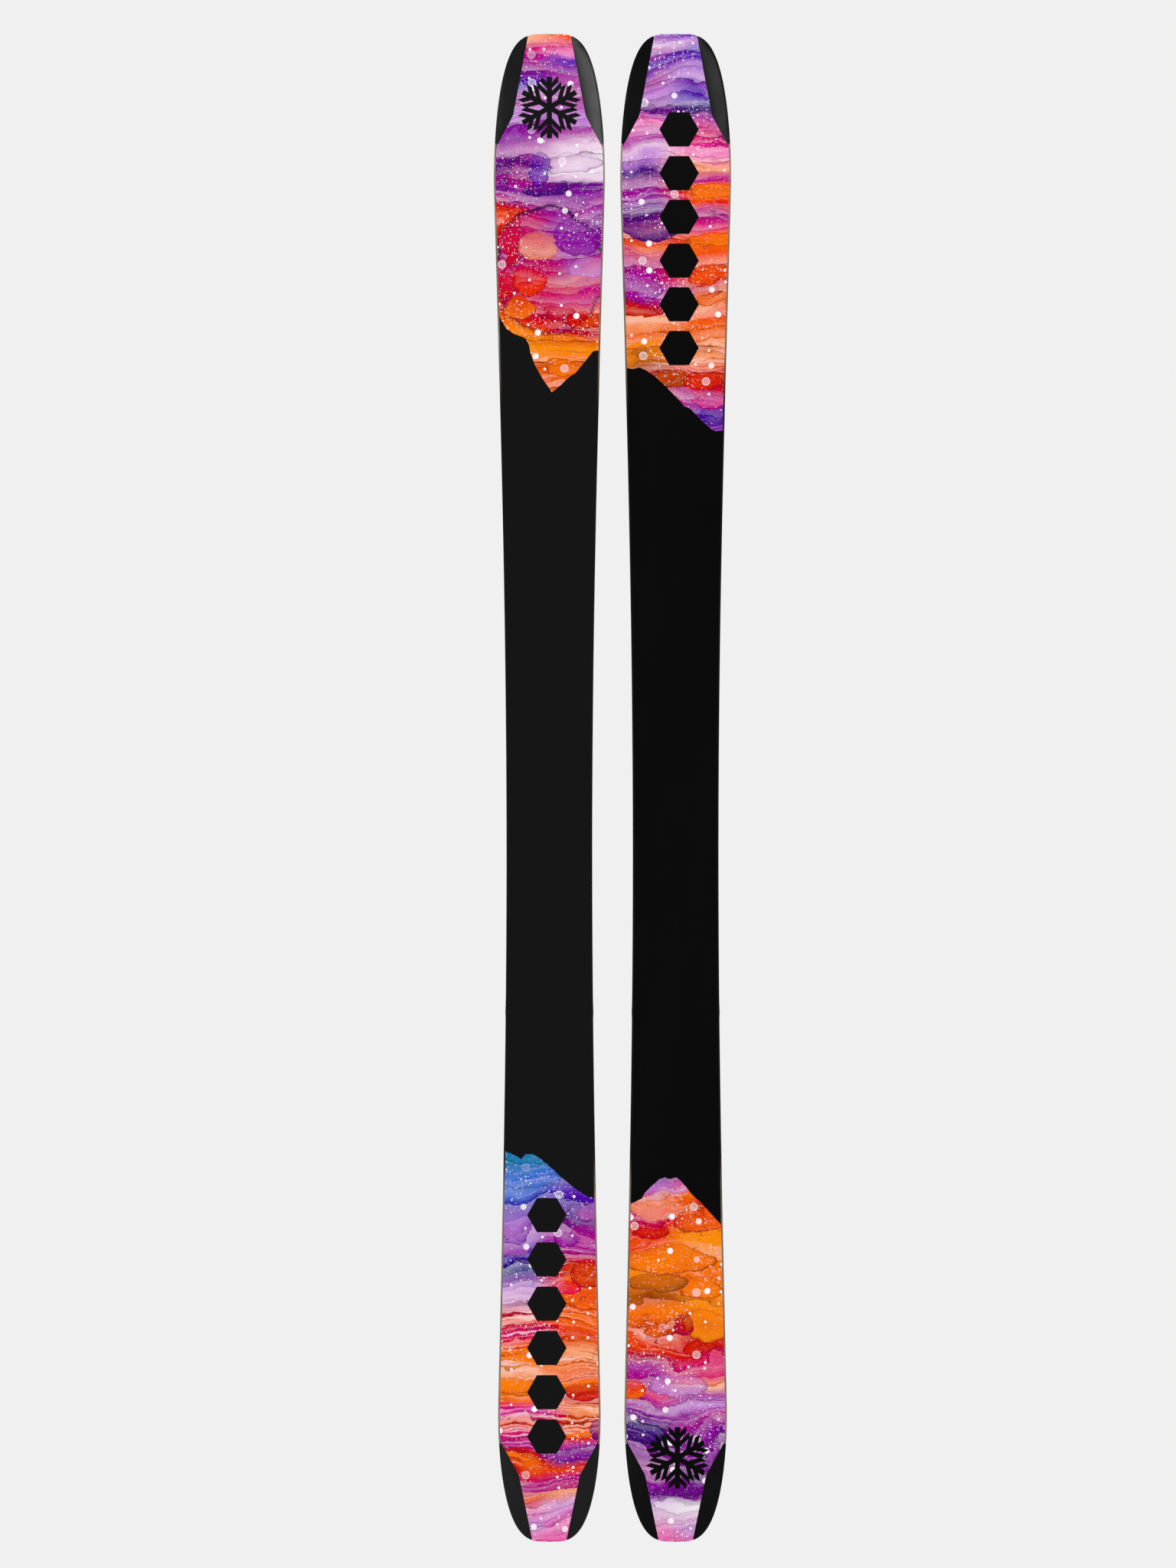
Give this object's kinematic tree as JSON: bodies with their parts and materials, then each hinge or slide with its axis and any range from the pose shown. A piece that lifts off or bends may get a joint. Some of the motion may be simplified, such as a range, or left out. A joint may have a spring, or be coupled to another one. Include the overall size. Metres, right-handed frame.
{
  "type": "alpine skis with bindings",
  "caption": "Pair of wide alpine skis with step-in bindings: toe wings, sliding heel, step-out lever and ski brake; skis upright, bases forward.",
  "frame": {"origin": "midway between the two boot centres, in the plane that the skis' flat bases touch", "axes": "+Z along the skis towards the tips, +Y from the bases to the bindings, +X from the left ski to the right ski"},
  "size_m": [0.2768, 0.1065, 1.759],
  "materials": {
    "base_art": "glossy printed running base",
    "edge_steel": "ground steel",
    "laminate": "fibre laminate",
    "core_wood": "raw wood",
    "sidewall": "satin",
    "topsheet_art": "satin printed",
    "insert_plastic": "satin moulded",
    "screw_steel": "zinc plated",
    "plate_plastic": "moulded grain",
    "housing_shell": "satin moulded",
    "jaw_plastic": "moulded grain",
    "pin_steel": "ground",
    "spring_steel": "oiled",
    "piston_metal": "turned",
    "setting_metal": "turned",
    "glide_metal": "polished",
    "track_metal": "black anodised",
    "carriage_metal": "cast, dark",
    "lever_metal": "powder coated",
    "brake_steel": "bright wire",
    "foot_plastic": "moulded"
  },
  "bodies": {
    "left_ski": {"left_base": "base_art", "left_edges": "edge_steel", "left_laminates": "laminate", "left_core": "core_wood", "left_sidewalls": "sidewall", "left_topsheet": "topsheet_art", "left_end_inserts": "insert_plastic", "left_binding_screws": "screw_steel", "left_toe_plate": "plate_plastic", "left_toe_housing": "housing_shell", "left_toe_pivot_pins": "pin_steel", "left_toe_spring": "spring_steel", "left_heel_track": "track_metal", "left_brake_base": "plate_plastic"},
    "left_toe_wing_left_jaw": {"left_toe_wing_left": "jaw_plastic"},
    "left_toe_wing_right_jaw": {"left_toe_wing_right": "jaw_plastic"},
    "left_toe_piston_rod": {"left_toe_piston": "piston_metal"},
    "left_toe_setting": {"left_toe_setting_screw": "setting_metal"},
    "left_toe_glide": {"left_toe_pad": "glide_metal"},
    "left_heel_slider": {"left_heel_carriage": "carriage_metal", "left_heel_axle": "pin_steel"},
    "left_length_worm": {"left_length_screw": "screw_steel"},
    "left_heel_head": {"left_heel_cup": "housing_shell", "left_heel_spring": "spring_steel"},
    "left_heel_lever_arm": {"left_heel_lever": "lever_metal"},
    "left_heel_setting": {"left_heel_setting_screw": "setting_metal"},
    "left_pedal": {"left_brake_pedal": "jaw_plastic"},
    "left_arm_left": {"left_brake_arm_left": "brake_steel"},
    "left_arm_right": {"left_brake_arm_right": "brake_steel"},
    "right_ski": {"right_base": "base_art", "right_edges": "edge_steel", "right_laminates": "laminate", "right_core": "core_wood", "right_sidewalls": "sidewall", "right_topsheet": "topsheet_art", "right_end_inserts": "insert_plastic", "right_binding_screws": "screw_steel", "right_toe_plate": "plate_plastic", "right_toe_housing": "housing_shell", "right_toe_pivot_pins": "pin_steel", "right_toe_spring": "spring_steel", "right_heel_track": "track_metal", "right_brake_base": "plate_plastic"},
    "right_toe_wing_left_jaw": {"right_toe_wing_left": "jaw_plastic"},
    "right_toe_wing_right_jaw": {"right_toe_wing_right": "jaw_plastic"},
    "right_toe_piston_rod": {"right_toe_piston": "piston_metal"},
    "right_toe_setting": {"right_toe_setting_screw": "setting_metal"},
    "right_toe_glide": {"right_toe_pad": "glide_metal"},
    "right_heel_slider": {"right_heel_carriage": "carriage_metal", "right_heel_axle": "pin_steel"},
    "right_length_worm": {"right_length_screw": "screw_steel"},
    "right_heel_head": {"right_heel_cup": "housing_shell", "right_heel_spring": "spring_steel"},
    "right_heel_lever_arm": {"right_heel_lever": "lever_metal"},
    "right_heel_setting": {"right_heel_setting_screw": "setting_metal"},
    "right_pedal": {"right_brake_pedal": "jaw_plastic"},
    "right_arm_left": {"right_brake_arm_left": "brake_steel"},
    "right_arm_right": {"right_brake_arm_right": "brake_steel"}
  },
  "joints": [
    {"name": "left_toe_wing_left_swing", "type": "hinge", "parent": "left_ski", "child": "left_toe_wing_left_jaw", "pos_m": [-0.09865, 0.043, 0.168], "axis": [0, 1, 0], "range_deg": [0, 30], "stiffness_Nm_per_rad": 4},
    {"name": "left_toe_wing_right_swing", "type": "hinge", "parent": "left_ski", "child": "left_toe_wing_right_jaw", "pos_m": [-0.04865, 0.043, 0.168], "axis": [0, -1, 0], "range_deg": [0, 30], "stiffness_Nm_per_rad": 4},
    {"name": "left_toe_piston_slide", "type": "slide", "parent": "left_ski", "child": "left_toe_piston_rod", "axis": [0, 0, 1], "range_m": [0, 0.006], "stiffness_N_per_m": 3000, "deforming": ["left_toe_spring"]},
    {"name": "left_toe_setting_turn", "type": "hinge", "parent": "left_ski", "child": "left_toe_setting", "pos_m": [-0.07365, 0.037, 0.222], "axis": [0, 0, 1], "continuous": true},
    {"name": "left_toe_pad_slide", "type": "slide", "parent": "left_ski", "child": "left_toe_glide", "axis": [1, 0, 0], "range_m": [-0.004, 0.004], "stiffness_N_per_m": 2000},
    {"name": "left_heel_carriage_slide", "type": "slide", "parent": "left_ski", "child": "left_heel_slider", "axis": [0, 0, 1], "range_m": [-0.015, 0.006]},
    {"name": "left_length_screw_turn", "type": "hinge", "parent": "left_heel_slider", "child": "left_length_worm", "pos_m": [-0.07365, 0.034, -0.25], "axis": [0, 0, 1], "range_deg": [-1081, 433]},
    {"name": "left_heel_cup_open", "type": "hinge", "parent": "left_heel_slider", "child": "left_heel_head", "pos_m": [-0.07365, 0.039, -0.212], "axis": [-1, 0, 0], "range_deg": [0, 35], "stiffness_Nm_per_rad": 5, "springref_deg": -11.46},
    {"name": "left_heel_lever_swing", "type": "hinge", "parent": "left_heel_head", "child": "left_heel_lever_arm", "pos_m": [-0.07365, 0.065, -0.218], "axis": [-1, 0, 0], "range_deg": [0, 10.6]},
    {"name": "left_heel_setting_turn", "type": "hinge", "parent": "left_heel_head", "child": "left_heel_setting", "pos_m": [-0.07365, 0.062, -0.226], "axis": [0, 0, 1], "continuous": true},
    {"name": "left_brake_pedal_rise", "type": "hinge", "parent": "left_ski", "child": "left_pedal", "pos_m": [-0.07365, 0.029, -0.112], "axis": [1, 0, 0], "range_deg": [-40, 0]},
    {"name": "left_brake_arm_left_drop", "type": "hinge", "parent": "left_ski", "child": "left_arm_left", "pos_m": [-0.10965, 0.033, -0.1], "axis": [0.9352, -0.3421, -0.092], "range_deg": [-60.1, 0]},
    {"name": "left_brake_arm_right_drop", "type": "hinge", "parent": "left_ski", "child": "left_arm_right", "pos_m": [-0.03765, 0.033, -0.1], "axis": [0.9352, 0.3421, 0.092], "range_deg": [-60.1, 0]},
    {"name": "ski_spread", "type": "slide", "parent": "left_ski", "child": "right_ski", "axis": [1, 0, 0], "range_m": [0, 0.25]},
    {"name": "right_toe_wing_left_swing", "type": "hinge", "parent": "right_ski", "child": "right_toe_wing_left_jaw", "pos_m": [0.04865, 0.043, 0.168], "axis": [0, 1, 0], "range_deg": [0, 30], "stiffness_Nm_per_rad": 4},
    {"name": "right_toe_wing_right_swing", "type": "hinge", "parent": "right_ski", "child": "right_toe_wing_right_jaw", "pos_m": [0.09865, 0.043, 0.168], "axis": [0, -1, 0], "range_deg": [0, 30], "stiffness_Nm_per_rad": 4},
    {"name": "right_toe_piston_slide", "type": "slide", "parent": "right_ski", "child": "right_toe_piston_rod", "axis": [0, 0, 1], "range_m": [0, 0.006], "stiffness_N_per_m": 3000, "deforming": ["right_toe_spring"]},
    {"name": "right_toe_setting_turn", "type": "hinge", "parent": "right_ski", "child": "right_toe_setting", "pos_m": [0.07365, 0.037, 0.222], "axis": [0, 0, 1], "continuous": true},
    {"name": "right_toe_pad_slide", "type": "slide", "parent": "right_ski", "child": "right_toe_glide", "axis": [1, 0, 0], "range_m": [-0.004, 0.004], "stiffness_N_per_m": 2000},
    {"name": "right_heel_carriage_slide", "type": "slide", "parent": "right_ski", "child": "right_heel_slider", "axis": [0, 0, 1], "range_m": [-0.015, 0.006]},
    {"name": "right_length_screw_turn", "type": "hinge", "parent": "right_heel_slider", "child": "right_length_worm", "pos_m": [0.07365, 0.034, -0.25], "axis": [0, 0, 1], "range_deg": [-1081, 433]},
    {"name": "right_heel_cup_open", "type": "hinge", "parent": "right_heel_slider", "child": "right_heel_head", "pos_m": [0.07365, 0.039, -0.212], "axis": [-1, 0, 0], "range_deg": [0, 35], "stiffness_Nm_per_rad": 5, "springref_deg": -11.46},
    {"name": "right_heel_lever_swing", "type": "hinge", "parent": "right_heel_head", "child": "right_heel_lever_arm", "pos_m": [0.07365, 0.065, -0.218], "axis": [-1, 0, 0], "range_deg": [0, 10.6]},
    {"name": "right_heel_setting_turn", "type": "hinge", "parent": "right_heel_head", "child": "right_heel_setting", "pos_m": [0.07365, 0.062, -0.226], "axis": [0, 0, 1], "continuous": true},
    {"name": "right_brake_pedal_rise", "type": "hinge", "parent": "right_ski", "child": "right_pedal", "pos_m": [0.07365, 0.029, -0.112], "axis": [1, 0, 0], "range_deg": [-40, 0]},
    {"name": "right_brake_arm_left_drop", "type": "hinge", "parent": "right_ski", "child": "right_arm_left", "pos_m": [0.03765, 0.033, -0.1], "axis": [0.9352, -0.3421, -0.092], "range_deg": [-60.1, 0]},
    {"name": "right_brake_arm_right_drop", "type": "hinge", "parent": "right_ski", "child": "right_arm_right", "pos_m": [0.10965, 0.033, -0.1], "axis": [0.9352, 0.3421, 0.092], "range_deg": [-60.1, 0]}
  ],
  "couplings": [
    {"joint": "left_length_screw_turn", "follows": "left_heel_carriage_slide", "rad_per_m": 1256.6},
    {"joint": "left_heel_lever_swing", "follows": "left_heel_cup_open", "ratio": 0.3},
    {"joint": "left_brake_arm_left_drop", "follows": "left_brake_pedal_rise", "ratio": 1.5},
    {"joint": "left_brake_arm_right_drop", "follows": "left_brake_pedal_rise", "ratio": 1.5},
    {"joint": "right_length_screw_turn", "follows": "right_heel_carriage_slide", "rad_per_m": 1256.6},
    {"joint": "right_heel_lever_swing", "follows": "right_heel_cup_open", "ratio": 0.3},
    {"joint": "right_brake_arm_left_drop", "follows": "right_brake_pedal_rise", "ratio": 1.5},
    {"joint": "right_brake_arm_right_drop", "follows": "right_brake_pedal_rise", "ratio": 1.5}
  ]
}
